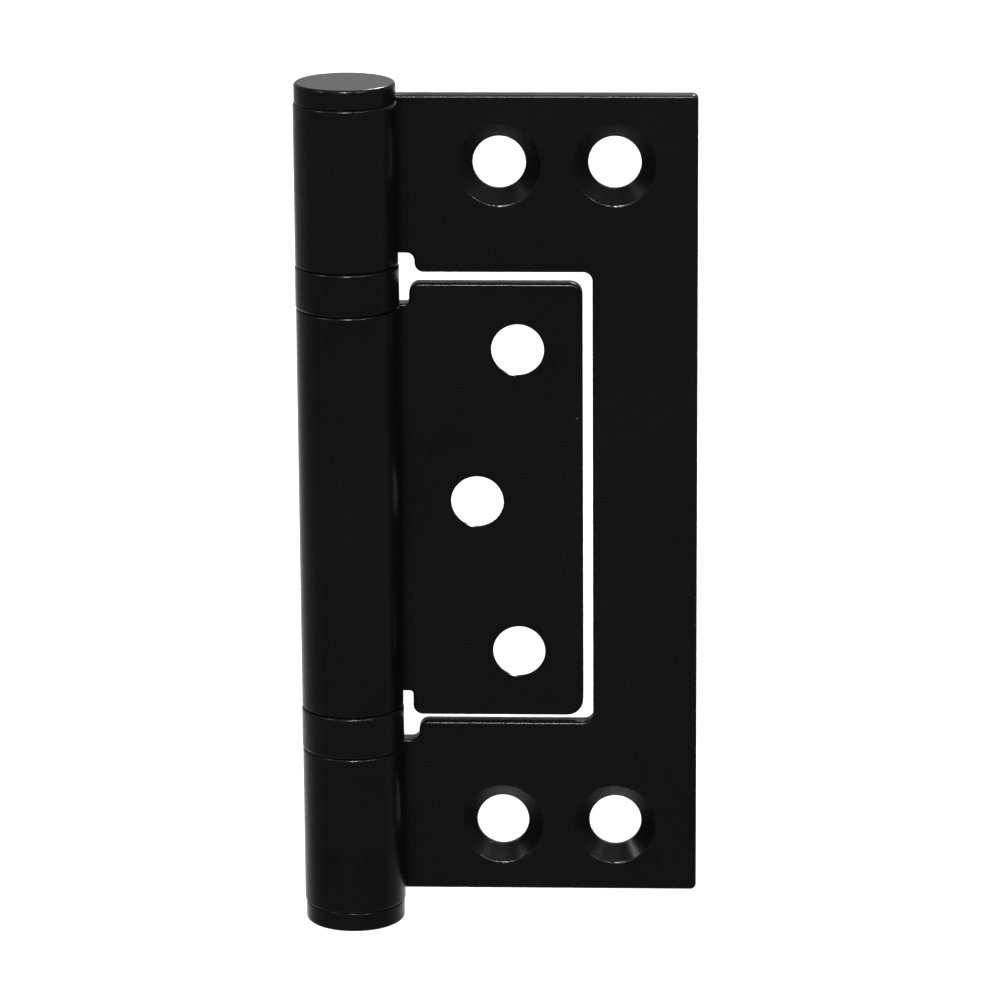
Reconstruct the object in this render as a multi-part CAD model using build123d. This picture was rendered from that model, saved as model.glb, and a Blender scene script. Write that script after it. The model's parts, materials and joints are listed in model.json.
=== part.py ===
from build123d import *
import math
import os

# Flush door hinge with two ball bearings.
# The pin's axis is Z through the origin, and z = 0 is half way up the outer leaf.
# Both leaves lie nested in one plane and reach from the pin towards +X.
# The barrel stands out of that plane towards -Y. All sizes are in millimetres.

# Leaves, both cut from one sheet
leaf_height = 100.0             # outer leaf, from end to end
leaf_width = 42.0               # outer leaf, from the pin's axis to its free edge
leaf_thickness = 2.5
end_band_height = 21.65         # outer leaf, above and below its window
side_band_width = 12.7          # outer leaf, from its window to its free edge
window_end_gap = 0.9            # inner leaf to the lower end of the window
window_side_gap = 1.2           # inner leaf's free edge to the side of the window
inner_leaf_drop = 0.25          # inner leaf sits this far below the middle of the window
leaf_corner_radius = 0.7
window_corner_radius = 1.1
inner_top_corner_radius = 1.5
inner_bottom_corner_radius = 2.0
edge_round = 0.35               # rounded edges of the leaves and rims of their knuckles

# Pin and knuckles
pin_radius = 3.65
running_clearance = 0.05        # pin to the knuckles, on the radius
press_interference = 0.01       # on the radius
press_band_length = 12.0        # thicker band that holds the pin in the upper knuckle
pin_chamfer = 0.5
curl_slit = 0.15                # end of each rolled knuckle to its leaf
knuckle_setback = 2.25          # inner leaf's knuckle, shorter than the leaf at each end

# Relief slots at the root of the knuckles, which clear the bearings
relief_start = 0.9              # from the knuckle's outside, towards the pin
relief_overcut = 0.5            # past the end of the knuckle
inner_relief_gap = 0.9          # from the bearing's outside to the inner leaf
outer_relief_gap = 1.6          # from the bearing's outside to the outer leaf
relief_root_radius = 0.35       # hidden corners beside the knuckles
inner_relief_corner_radius = 0.4
outer_relief_corner_radius = 0.95
inner_relief_mouth_radius = 1.2
outer_relief_mouth_radius = 1.1
largest_corner_share = 0.45     # of the step between a slot's end and the leaf's edge
largest_mouth_share = 0.5        # of the same step

# Screw holes, countersunk at 90 degrees
screw_hole_radius = 3.2
countersink_radius = 5.05
countersink_round = 0.3
outer_hole_spacing = 13.9       # along X
outer_hole_shift = 0.95         # pair's middle, from the middle of the flat towards the free edge
outer_hole_margin = 8.45        # hole to the end of the outer leaf
inner_hole_end_margin = 8.2     # end holes to the ends of the inner leaf
inner_hole_side_margin = 7.85   # end holes to its free edge
inner_middle_hole_inset = 9.05  # middle hole to the knuckle's outside

# End caps, pressed into the outer leaf's knuckles
cap_thickness = 2.4
cap_step = 0.12                 # cap's radius is less than the knuckle's by this
cap_rim_round = 0.4
cap_seat_round = 0.15
cap_stem_length = 4.0
cap_stem_chamfer = 0.4
pin_end_gap = 0.2               # pin to each cap's stem

# Ball bearings, one above and one below the inner leaf's knuckle
bearing_height = 5.25
bearing_proud = 0.06            # shell's radius is more than the knuckle's by this
shell_wall = 0.55
shell_round = 0.35
seam_gap = 0.05                 # shell to the inner leaf's knuckle
race_pin_clearance = 0.15
race_shell_clearance = 0.08
ball_radius = 0.6
ball_count = 10                 # in each bearing
ball_clearance = 0.03           # ball to each groove
race_gap = 0.7                  # between the flats of the two races
cage_thickness = 0.5
cage_side_clearance = 0.1
pocket_clearance = 0.05

arc_tolerance = 1e-4            # on the radius, where an arc is picked by it

# Worked out from the sizes above
bore_radius = pin_radius + running_clearance
knuckle_radius = bore_radius + leaf_thickness
leaf_end = leaf_height / 2
window_half = leaf_end - end_band_height
window_side = leaf_width - side_band_width
inner_leaf_width = window_side - window_side_gap
inner_leaf_half = window_half - inner_leaf_drop - window_end_gap
inner_leaf_top = inner_leaf_half - inner_leaf_drop
inner_leaf_bottom = -inner_leaf_half - inner_leaf_drop
inner_knuckle_end = inner_leaf_half - knuckle_setback
outer_knuckle_end = inner_knuckle_end + bearing_height
relief_side = knuckle_radius - relief_start
bearing_radius = knuckle_radius + bearing_proud
shell_bore_radius = bearing_radius - shell_wall
race_bore_radius = pin_radius + race_pin_clearance
ball_circle_radius = (race_bore_radius + shell_bore_radius) / 2
bearing_middle = inner_knuckle_end + bearing_height / 2
race_height = (bearing_height - race_gap) / 2
stem_radius = bore_radius + press_interference
pin_half_length = leaf_end - cap_stem_length - pin_end_gap


def rounded_outline(corners):
    """Flat outline through (x, y, corner radius) points, in anticlockwise order."""
    outline = Polygon(*[(x, y) for x, y, radius in corners], align=None)
    for x, y, radius in corners:
        if radius > 0:
            corner = outline.vertices().sort_by_distance((x, y, 0))[0]
            outline = fillet(corner, radius)
    return outline


def round_edges(solid, radius):
    """Edges of a solid that are arcs of this radius."""
    arcs = solid.edges().filter_by(GeomType.CIRCLE)
    return arcs.filter_by(lambda arc: math.isclose(arc.radius, radius, abs_tol=arc_tolerance))


def leaf_plate(corners, hole_places, countersink_side):
    """Flat part of a leaf with rounded edges, from its outline in X and Z."""
    sketch_plane = Plane.XZ.offset(-knuckle_radius)
    plate = extrude(sketch_plane * rounded_outline(corners), amount=leaf_thickness)
    faces = plate.faces().filter_by(Axis.Y)
    outline_edges = [edge for edge in faces.edges() if edge.center().X > edge_round]
    plate = fillet(outline_edges, edge_round)
    for x, z in hole_places:
        plate -= screw_hole(x, z, countersink_side)
    return fillet(round_edges(plate, countersink_radius), countersink_round)


def screw_hole(x, z, countersink_side):
    """Cutter for a screw hole whose head side faces -Y (-1) or +Y (1)."""
    middle = (bore_radius + knuckle_radius) / 2
    hole = Cylinder(screw_hole_radius, 2 * leaf_thickness)
    cone_height = countersink_radius - screw_hole_radius
    cone = Cone(screw_hole_radius, countersink_radius, cone_height)
    cone = Pos(0, 0, (leaf_thickness - cone_height) / 2) * cone
    turn = Rot(-90 * countersink_side, 0, 0)
    return Pos(x, middle, z) * turn * (hole + cone)


def rolled_knuckle(low, high):
    """Sheet rolled round the pin from x = 0 at the back, past the front, to its slit."""
    end_angle = math.degrees(math.asin((bore_radius - curl_slit) / knuckle_radius))
    sweep = 270 + end_angle
    outside = CenterArc((0, 0), knuckle_radius, 90, sweep)
    inside = CenterArc((0, 0), bore_radius, 90, sweep)
    section = make_face([outside, Line(outside @ 1, inside @ 1), inside, Line(inside @ 0, outside @ 0)])
    knuckle = Pos(0, 0, low) * extrude(section, amount=high - low)
    return fillet(round_edges(knuckle, knuckle_radius), edge_round)


def outer_leaf():
    """Leaf for the door frame, with a window and a knuckle at each end."""
    relief_side_far = bearing_radius + outer_relief_gap
    relief_top = outer_knuckle_end + relief_overcut
    step = relief_top - window_half
    upper_corners = [
        (0, outer_knuckle_end, 0),
        (relief_side, outer_knuckle_end, 0),
        (relief_side, relief_top, relief_root_radius),
        (relief_side_far, relief_top, min(outer_relief_corner_radius, largest_corner_share * step)),
        (relief_side_far, window_half, min(outer_relief_mouth_radius, largest_mouth_share * step)),
        (window_side, window_half, window_corner_radius),
    ]
    lower_corners = [(x, -z, radius) for x, z, radius in reversed(upper_corners)]
    ends = [
        (0, -leaf_end, 0),
        (leaf_width, -leaf_end, leaf_corner_radius),
        (leaf_width, leaf_end, leaf_corner_radius),
        (0, leaf_end, 0),
    ]
    middle = (knuckle_radius + leaf_width) / 2 + outer_hole_shift
    hole_places = [
        (middle + side * outer_hole_spacing / 2, end * (leaf_end - outer_hole_margin))
        for side in (-1, 1)
        for end in (-1, 1)
    ]
    plate = leaf_plate(upper_corners + lower_corners + ends, hole_places, -1)
    upper = rolled_knuckle(outer_knuckle_end, leaf_end)
    lower = rolled_knuckle(-leaf_end, -outer_knuckle_end)
    return plate + upper + lower


def inner_leaf():
    """Leaf for the door, with the middle knuckle, which nests in the outer leaf's window."""
    relief_side_far = bearing_radius + inner_relief_gap
    relief_bottom = inner_knuckle_end - relief_overcut
    lower_corners = [
        (0, -inner_knuckle_end, 0),
        (relief_side, -inner_knuckle_end, 0),
        (relief_side, -relief_bottom, relief_root_radius),
        (relief_side_far, -relief_bottom, inner_relief_corner_radius),
    ]
    step = inner_leaf_top - relief_bottom
    mouth_radius = min(inner_relief_mouth_radius, largest_mouth_share * step)
    flange = [
        (relief_side_far, inner_leaf_bottom, mouth_radius),
        (inner_leaf_width, inner_leaf_bottom, inner_bottom_corner_radius),
        (inner_leaf_width, inner_leaf_top, inner_top_corner_radius),
        (relief_side_far, inner_leaf_top, mouth_radius),
    ]
    upper_corners = [(x, -z, radius) for x, z, radius in reversed(lower_corners)]
    end_hole_x = inner_leaf_width - inner_hole_side_margin
    hole_places = [
        (end_hole_x, inner_leaf_top - inner_hole_end_margin),
        (knuckle_radius + inner_middle_hole_inset, -inner_leaf_drop),
        (end_hole_x, inner_leaf_bottom + inner_hole_end_margin),
    ]
    plate = leaf_plate(lower_corners + flange + upper_corners, hole_places, 1)
    return plate + rolled_knuckle(-inner_knuckle_end, inner_knuckle_end)


def hinge_pin():
    """Plain pin with a slightly thicker band that grips the upper knuckle."""
    pin = chamfer(Cylinder(pin_radius, 2 * pin_half_length).edges(), pin_chamfer)
    band_top = pin_half_length - 2 * pin_chamfer
    band = Cylinder(stem_radius, press_band_length)
    return pin + Pos(0, 0, band_top - press_band_length / 2) * band


def end_cap(side):
    """Flat cap with a stem that is pressed into the knuckle's bore."""
    radius = knuckle_radius - cap_step
    head = Pos(0, 0, cap_thickness / 2) * Cylinder(radius, cap_thickness)
    head = fillet(head.edges().sort_by(Axis.Z)[-1], cap_rim_round)
    head = fillet(head.edges().sort_by(Axis.Z)[0], cap_seat_round)
    stem = Pos(0, 0, -cap_stem_length / 2) * Cylinder(stem_radius, cap_stem_length)
    stem = chamfer(stem.edges().sort_by(Axis.Z)[0], cap_stem_chamfer)
    cap = Pos(0, 0, leaf_end) * (head + stem)
    return place(cap, side)


def bearing_shell():
    """Outer sleeve of a bearing, which sits on the outer leaf's knuckle."""
    height = bearing_height - seam_gap
    sleeve = Cylinder(bearing_radius, height)
    sleeve = fillet(sleeve.edges(), shell_round)
    sleeve -= Cylinder(shell_bore_radius, height)
    return Pos(0, 0, outer_knuckle_end - height / 2) * sleeve


def race(outside_radius, low, high):
    """Ring with a groove for the balls, on the side that faces them."""
    ring = Cylinder(outside_radius, high - low) - Cylinder(race_bore_radius, high - low)
    groove = Torus(ball_circle_radius, ball_radius + ball_clearance)
    return Pos(0, 0, (low + high) / 2) * ring - Pos(0, 0, bearing_middle) * groove


def fixed_race():
    """Race that the shell holds against the outer leaf's knuckle."""
    return race(shell_bore_radius, outer_knuckle_end - race_height, outer_knuckle_end)


def moving_race():
    """Race that rests on the inner leaf's knuckle and turns with it."""
    radius = shell_bore_radius - race_shell_clearance
    return race(radius, inner_knuckle_end, inner_knuckle_end + race_height)


def ball_places():
    """Centres of the balls of the upper bearing."""
    step = 2 * math.pi / ball_count
    angles = [number * step for number in range(ball_count)]
    return [
        (ball_circle_radius * math.cos(angle), ball_circle_radius * math.sin(angle), bearing_middle)
        for angle in angles
    ]


def ball_cage():
    """Flat ring with one pocket for each ball."""
    outside = shell_bore_radius - cage_side_clearance
    inside = race_bore_radius + cage_side_clearance
    cage = Pos(0, 0, bearing_middle) * (Cylinder(outside, cage_thickness) - Cylinder(inside, cage_thickness))
    for place_of_ball in ball_places():
        cage -= Pos(*place_of_ball) * Cylinder(ball_radius + pocket_clearance, 2 * cage_thickness)
    return cage


def place(upper_piece, side):
    """A piece made for the upper end, turned over to the lower end where side is -1."""
    if side > 0:
        return upper_piece
    return Rot(180, 0, 0) * upper_piece


def bearing_nodes(name, side):
    """All pieces of one bearing by node name."""
    nodes = {
        f"{name}_bearing_shell": place(bearing_shell(), side),
        f"{name}_fixed_race": place(fixed_race(), side),
        f"{name}_moving_race": place(moving_race(), side),
        f"{name}_ball_cage": place(ball_cage(), side),
    }
    for number, place_of_ball in enumerate(ball_places(), start=1):
        ball = Pos(*place_of_ball) * Sphere(ball_radius)
        nodes[f"{name}_ball_{number:02d}"] = place(ball, side)
    return nodes


nodes = {
    "outer_leaf": outer_leaf(),
    "inner_leaf": inner_leaf(),
    "hinge_pin": hinge_pin(),
    "top_cap": end_cap(1),
    "bottom_cap": end_cap(-1),
}
nodes.update(bearing_nodes("upper", 1))
nodes.update(bearing_nodes("lower", -1))

os.makedirs("parts", exist_ok=True)
for node_name, solid in nodes.items():
    export_step(solid, os.path.join("parts", f"{node_name}.step"))
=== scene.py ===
"""Looks of the black flush door hinge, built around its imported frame. All sizes are in metres."""

import json
import math

import bpy
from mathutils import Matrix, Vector


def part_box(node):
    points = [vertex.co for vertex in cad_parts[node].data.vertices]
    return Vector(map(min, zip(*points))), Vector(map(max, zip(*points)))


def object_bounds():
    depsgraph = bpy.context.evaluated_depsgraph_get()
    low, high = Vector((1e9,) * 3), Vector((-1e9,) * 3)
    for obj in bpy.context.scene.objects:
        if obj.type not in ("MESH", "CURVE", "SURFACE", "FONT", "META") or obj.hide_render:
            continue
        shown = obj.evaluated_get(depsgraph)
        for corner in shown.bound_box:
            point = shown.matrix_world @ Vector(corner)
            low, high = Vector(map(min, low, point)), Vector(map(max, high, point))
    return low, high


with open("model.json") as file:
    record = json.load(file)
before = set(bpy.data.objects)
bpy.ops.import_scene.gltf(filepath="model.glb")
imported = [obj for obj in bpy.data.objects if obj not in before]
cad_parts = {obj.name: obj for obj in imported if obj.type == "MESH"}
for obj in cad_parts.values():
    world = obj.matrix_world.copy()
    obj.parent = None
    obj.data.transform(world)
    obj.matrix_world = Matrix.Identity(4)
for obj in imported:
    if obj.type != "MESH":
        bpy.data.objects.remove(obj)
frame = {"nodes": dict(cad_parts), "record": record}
cad_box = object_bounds()

MM = 0.001

# Leaves
LEAF_THICKNESS = 2.5 * MM
LEAF_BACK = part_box("outer_leaf")[1][1]
LEAF_FRONT = LEAF_BACK - LEAF_THICKNESS
BARREL_RADIUS = LEAF_BACK

# Lean of the coat's normal on the leaves' cut edges
EDGE_LEAN = 0.30                          # tangent of the lean at the leaf's front
EDGE_LEAN_START = 0.2 * MM                # in front of the leaf's back
EDGE_LEAN_FADE = 2.0 * MM                 # beside the barrel
CUT_FACING = (0.55, 0.15)                 # how far a face looks forward, from a flat one to a cut one

# Powder coat
LEAF_BLACK = (0.0010, 0.0011, 0.0010)
BEARING_BLACK = (0.0009, 0.0010, 0.0009)
COAT_SHINE = 0.10
COAT_ROUGHNESS = (0.24, 0.30)             # in thin and thick patches
GRAIN_ROUGHNESS = 0.03
RUBBED_GLOSS = 0.08
CLOUD_SCALE = 55.0
RIPPLE_SCALE = 900.0
GRAIN_SCALE = 5200.0
RIPPLE_HEIGHT = 0.010 * MM
GRAIN_HEIGHT = 0.0022 * MM
EDGE_ROUND = 0.35 * MM
DUST_SCALE = 210.0
DUST_PATCH_SCALE = 120.0
DUST_STRENGTH = 0.1
DUST_COLOUR = (0.16, 0.16, 0.155, 1.0)

# Bare metal
TURNING_STRETCH = (0.12, 0.12, 1.0)
STAIN_SCALE = 260.0
TURNING_HEIGHT = 0.0025 * MM

# A noise is spread to its full range between these two of its values
NOISE_RANGE = (0.3, 0.7)

# Camera
CAMERA_PLACE = (0.04421, -0.62562, 0.17192)
CAMERA_TURN = (74.732, 0.361, 2.285)      # degrees
CAMERA_LENS = 193.07                      # mm, on the sensor below
CAMERA_SENSOR = 36.0
CAMERA_CLIP = (0.01, 50.0)

# Floor
FLOOR_DROP = 0.30                         # floor below the hinge, which hangs on a door frame
FLOOR_SIZE = 14.0
FLOOR_TONES = ((0.90, 0.90, 0.90, 1.0), (0.93, 0.93, 0.93, 1.0))

# Lamps: name, place, target, size, power in watts, whole spread of the beam in degrees
CENTRE = (0.0, 0.0, 0.0)
GLINT_LAMP = (0.16, 0.10)
LAMPS = (
    # broad soft box over the floor behind, which makes the white ground
    ("ground_light", (0.0, 1.6, 1.9), (0.0, 1.6, -0.4), (1.6, 2.4), 14.5, 40.0),
    # three small lamps overhead, seen as short glints on the rims
    ("front_lamp", (0.05, -0.75, 0.75), CENTRE, GLINT_LAMP, 0.40, 20.0),
    ("right_lamp", (0.62, -0.62, 0.78), CENTRE, GLINT_LAMP, 0.11, 20.0),
    ("left_lamp", (-0.77, -0.43, 0.78), CENTRE, GLINT_LAMP, 0.07, 20.0),
    # the same for the back
    ("back_lamp", (0.25, 0.80, 0.80), CENTRE, (0.30, 0.20), 0.40, 20.0),
)

# Room
ROOM_TONE = (0.45, 0.45, 0.45, 1.0)
WALL_TONE = (0.72, 0.73, 0.72, 1.0)
RIGHT_SHARE = 0.15                        # of the wall's brightness, where it fades to the right


# ---------------------------------------------------------------- node helpers

class Graph:
    """Adds nodes to one node tree and links them by name."""

    def __init__(self, tree):
        self.tree = tree
        self.tree.nodes.clear()

    def node(self, kind, **values):
        node = self.tree.nodes.new(kind)
        for name, value in values.items():
            setattr(node, name, value)
        return node

    def set(self, node, **sockets):
        for name, value in sockets.items():
            self.feed(node.inputs[name.replace("_", " ")], value)
        return node

    def feed(self, socket, value):
        """Links a socket to another node's output, or gives it a plain value."""
        if isinstance(value, bpy.types.NodeSocket):
            self.link(value, socket)
        else:
            socket.default_value = value

    def link(self, source, target):
        self.tree.links.new(source, target)


def new_material(name):
    material = bpy.data.materials.new(name)
    material.use_nodes = True
    return material, Graph(material.node_tree)


def finish_material(graph, shader):
    output = graph.node("ShaderNodeOutputMaterial")
    graph.link(shader.outputs["BSDF"], output.inputs["Surface"])


def object_place(graph):
    return graph.node("ShaderNodeTexCoord").outputs["Object"]


def noise(graph, place, scale, detail=2.0, roughness=0.5):
    node = graph.node("ShaderNodeTexNoise")
    graph.link(place, node.inputs["Vector"])
    return graph.set(node, Scale=scale, Detail=detail, Roughness=roughness).outputs["Fac"]


def remap(graph, value, low, high, to_low, to_high):
    node = graph.node("ShaderNodeMapRange", clamp=True)
    graph.link(value, node.inputs["Value"])
    graph.set(node, From_Min=low, From_Max=high, To_Min=to_low, To_Max=to_high)
    return node.outputs["Result"]


def math_node(graph, operation, first, second):
    node = graph.node("ShaderNodeMath", operation=operation)
    for socket, value in zip(node.inputs, (first, second)):
        graph.feed(socket, value)
    return node.outputs["Value"]


def vector_node(graph, operation, first, second):
    node = graph.node("ShaderNodeVectorMath", operation=operation)
    for socket, value in zip(node.inputs, (first, second)):
        graph.feed(socket, value)
    return node


def mix_colour(graph, factor, first, second):
    """Mix of two colours.

    Inputs 0, 6 and 7 of the node are the factor and the two colours, and output 2 is their mix.
    """
    node = graph.node("ShaderNodeMix", data_type="RGBA")
    for index, value in ((0, factor), (6, first), (7, second)):
        graph.feed(node.inputs[index], value)
    return node.outputs[2]


def bump(graph, height, distance, under=None):
    node = graph.node("ShaderNodeBump")
    graph.link(height, node.inputs["Height"])
    graph.set(node, Strength=1.0, Distance=distance)
    if under is not None:
        graph.link(under, node.inputs["Normal"])
    return node.outputs["Normal"]


def tinted(colour, share):
    """The colour made lighter or darker by a share, no lighter than white, and opaque."""
    return tuple(min(1.0, channel * share) for channel in colour) + (1.0,)


def edge_mask(graph, radius):
    """1 on edges that stick out, 0 on flat faces."""
    bevel = graph.node("ShaderNodeBevel", samples=6)
    bevel.inputs["Radius"].default_value = radius
    geometry = graph.node("ShaderNodeNewGeometry")
    dot = vector_node(graph, "DOT_PRODUCT", bevel.outputs["Normal"], geometry.outputs["Normal"])
    return remap(graph, dot.outputs["Value"], 0.96, 0.80, 0.0, 1.0)


def sheared_edge_normal(graph, place):
    """Normal of a leaf, leaning forward on its cut edges, the more the nearer they are to the front.

    A leaf is cut from sheet by a die, which rolls the front of the cut over, and the coat rounds it further.
    """
    axes = graph.node("ShaderNodeSeparateXYZ")
    graph.link(place, axes.inputs["Vector"])
    to_front = remap(graph, axes.outputs["Y"], LEAF_BACK - EDGE_LEAN_START, LEAF_FRONT, 0.0, EDGE_LEAN)
    beside_barrel = remap(graph, axes.outputs["X"], BARREL_RADIUS, BARREL_RADIUS + EDGE_LEAN_FADE, 0.0, 1.0)

    normal = graph.node("ShaderNodeNewGeometry").outputs["Normal"]
    to_world = graph.node(
        "ShaderNodeVectorTransform", vector_type="VECTOR", convert_from="OBJECT", convert_to="WORLD")
    to_world.inputs["Vector"].default_value = (0.0, -1.0, 0.0)
    forward = to_world.outputs["Vector"]
    facing = vector_node(graph, "DOT_PRODUCT", normal, forward)
    facing = math_node(graph, "ABSOLUTE", facing.outputs["Value"], 0.0)
    cut = remap(graph, facing, *CUT_FACING, 0.0, 1.0)

    lean = math_node(graph, "MULTIPLY", math_node(graph, "MULTIPLY", to_front, beside_barrel), cut)
    offset = graph.node("ShaderNodeVectorMath", operation="SCALE")
    graph.link(forward, offset.inputs[0])
    graph.link(lean, offset.inputs["Scale"])
    total = vector_node(graph, "ADD", normal, offset.outputs["Vector"])
    unit = graph.node("ShaderNodeVectorMath", operation="NORMALIZE")
    graph.link(total.outputs["Vector"], unit.inputs[0])
    return unit.outputs["Vector"]


# ---------------------------------------------------------------- materials

def powder_coat(name, colour, gloss_shift=0.0, seed=0.0, sheared=False):
    """Satin black powder coat: soft ripple, fine grain, faint cloudiness, rubbed edges and dust."""
    material, graph = new_material(name)
    unshifted = object_place(graph)
    place = vector_node(graph, "ADD", unshifted, (seed, seed * 0.37, -seed * 0.61)).outputs["Vector"]

    clouds = noise(graph, place, CLOUD_SCALE, detail=3.0, roughness=0.6)
    ripple = noise(graph, place, RIPPLE_SCALE, detail=1.0)
    grain = noise(graph, place, GRAIN_SCALE, detail=2.0, roughness=0.7)

    rubbed_where = edge_mask(graph, EDGE_ROUND)
    rubbed = math_node(graph, "MULTIPLY", rubbed_where, remap(graph, clouds, 0.35, 0.7, 0.1, 0.8))

    cloudy = remap(graph, clouds, *NOISE_RANGE, 0.0, 1.0)
    base = mix_colour(graph, cloudy, tinted(colour, 0.72), tinted(colour, 1.35))
    base = mix_colour(graph, rubbed, base, tinted(colour, 2.2))

    dust_cells = graph.node("ShaderNodeTexVoronoi", feature="F1")
    graph.link(place, dust_cells.inputs["Vector"])
    graph.set(dust_cells, Scale=DUST_SCALE, Randomness=1.0)
    dust_spot = remap(graph, dust_cells.outputs["Distance"], 0.040, 0.02, 0.0, 1.0)
    dust_where = remap(graph, noise(graph, place, DUST_PATCH_SCALE, detail=1.0), 0.60, 0.66, 0.0, 1.0)
    dust = math_node(graph, "MULTIPLY", dust_spot, dust_where)
    base = mix_colour(graph, math_node(graph, "MULTIPLY", dust, DUST_STRENGTH), base, DUST_COLOUR)

    smooth, rough = (roughness + gloss_shift for roughness in COAT_ROUGHNESS)
    gloss = remap(graph, clouds, *NOISE_RANGE, smooth, rough)
    grainy = remap(graph, grain, *NOISE_RANGE, -GRAIN_ROUGHNESS, GRAIN_ROUGHNESS)
    gloss = math_node(graph, "ADD", gloss, grainy)
    gloss = math_node(graph, "SUBTRACT", gloss, math_node(graph, "MULTIPLY", rubbed, RUBBED_GLOSS))

    normal = sheared_edge_normal(graph, unshifted) if sheared else None
    normal = bump(graph, ripple, RIPPLE_HEIGHT, under=normal)
    normal = bump(graph, grain, GRAIN_HEIGHT, under=normal)

    shader = graph.node("ShaderNodeBsdfPrincipled")
    graph.set(shader, Base_Color=base, Roughness=gloss, Normal=normal, Specular_IOR_Level=COAT_SHINE)
    finish_material(graph, shader)
    return material


def turned_metal(name, colour, roughness, line_scale, seed=0.0):
    """Bare metal with fine turning or drawing lines and a little staining."""
    material, graph = new_material(name)
    place = object_place(graph)
    stretch = graph.node("ShaderNodeMapping")
    graph.link(place, stretch.inputs["Vector"])
    stretch.inputs["Scale"].default_value = TURNING_STRETCH
    stretch.inputs["Location"].default_value = (seed, seed, seed)
    lines = noise(graph, stretch.outputs["Vector"], line_scale, detail=3.0, roughness=0.7)
    stains = noise(graph, place, STAIN_SCALE, detail=2.0)

    stained = remap(graph, stains, *NOISE_RANGE, 0.0, 1.0)
    base = mix_colour(graph, stained, tinted(colour, 0.70), tinted(colour, 1.12))
    rough = remap(graph, lines, *NOISE_RANGE, roughness - 0.06, roughness + 0.08)
    normal = bump(graph, lines, TURNING_HEIGHT)

    shader = graph.node("ShaderNodeBsdfPrincipled")
    graph.set(shader, Base_Color=base, Roughness=rough, Normal=normal, Metallic=1.0)
    finish_material(graph, shader)
    return material


def studio_floor(name):
    """Plain pale floor, a little uneven in tone."""
    material, graph = new_material(name)
    tone = noise(graph, object_place(graph), 3.0, detail=2.0)
    base = mix_colour(graph, tone, *FLOOR_TONES)
    shader = graph.node("ShaderNodeBsdfPrincipled")
    graph.set(shader, Base_Color=base, Roughness=0.9, Specular_IOR_Level=0.1)
    finish_material(graph, shader)
    return material


# ---------------------------------------------------------------- carried-over nodes

def dress_nodes():
    """Gives each node of the frame the material of its slot."""
    coats = {
        "leaf_coat": powder_coat("black_leaf_coat", LEAF_BLACK, sheared=True),
        "cap_coat": powder_coat("black_cap_coat", LEAF_BLACK, gloss_shift=-0.05, seed=0.31),
        "bearing_coat": powder_coat("black_bearing_coat", BEARING_BLACK, gloss_shift=-0.02, seed=0.73),
        "pin_steel": turned_metal("drawn_pin_steel", (0.50, 0.50, 0.51), 0.32, 2600.0),
        "race_steel": turned_metal("ground_race_steel", (0.42, 0.42, 0.44), 0.24, 5200.0, seed=0.2),
        "ball_steel": turned_metal("polished_ball_steel", (0.62, 0.62, 0.64), 0.12, 6000.0, seed=0.4),
        "cage_brass": turned_metal("stamped_cage_brass", (0.72, 0.53, 0.24), 0.34, 3800.0, seed=0.6),
    }
    for subpart in frame["record"]["subparts"]:
        node = frame["nodes"][subpart["node"]]
        node.data.materials.clear()
        node.data.materials.append(coats[subpart["material_slot"]])


# ---------------------------------------------------------------- stage

def add_floor():
    low = cad_box[0]
    bpy.ops.mesh.primitive_plane_add(size=FLOOR_SIZE, location=(0.0, 0.0, low[2] - FLOOR_DROP))
    floor = bpy.context.object
    floor.name = "studio_floor"
    floor.data.materials.append(studio_floor("white_floor"))


def add_lamp(name, place, target, size, power, spread):
    """Rectangular lamp at a place, turned to a target."""
    data = bpy.data.lights.new(name, "AREA")
    data.shape = "RECTANGLE"
    data.size, data.size_y = size
    data.energy = power
    data.spread = math.radians(spread)
    light = bpy.data.objects.new(name, data)
    light.location = place
    light.rotation_euler = (Vector(target) - Vector(place)).to_track_quat("-Z", "Y").to_euler()
    bpy.context.scene.collection.objects.link(light)


def add_world():
    """Dim room with a brighter low wall behind the hinge, which fades to the right."""
    world = bpy.data.worlds.new("studio")
    world.use_nodes = True
    graph = Graph(world.node_tree)
    direction = graph.node("ShaderNodeTexCoord").outputs["Generated"]
    axes = graph.node("ShaderNodeSeparateXYZ")
    graph.link(direction, axes.inputs["Vector"])
    behind = remap(graph, axes.outputs["Y"], 0.05, 0.85, 0.0, 1.0)
    low = remap(graph, axes.outputs["Z"], 0.65, 0.15, 0.0, 1.0)
    left = remap(graph, axes.outputs["X"], 0.15, 0.60, 1.0, RIGHT_SHARE)
    wall = math_node(graph, "MULTIPLY", math_node(graph, "MULTIPLY", behind, low), left)
    background = graph.node("ShaderNodeBackground")
    graph.link(mix_colour(graph, wall, ROOM_TONE, WALL_TONE), background.inputs["Color"])
    output = graph.node("ShaderNodeOutputWorld")
    graph.link(background.outputs["Background"], output.inputs["Surface"])
    bpy.context.scene.world = world


def add_camera():
    data = bpy.data.cameras.new("photo_view")
    data.lens = CAMERA_LENS
    data.sensor_width = CAMERA_SENSOR
    data.clip_start, data.clip_end = CAMERA_CLIP
    camera = bpy.data.objects.new("photo_view", data)
    camera.location = CAMERA_PLACE
    camera.rotation_euler = [math.radians(angle) for angle in CAMERA_TURN]
    bpy.context.scene.collection.objects.link(camera)
    bpy.context.scene.camera = camera


dress_nodes()
add_floor()
for lamp in LAMPS:
    add_lamp(*lamp)
add_world()
add_camera()
bpy.context.scene.view_settings.view_transform = "Standard"
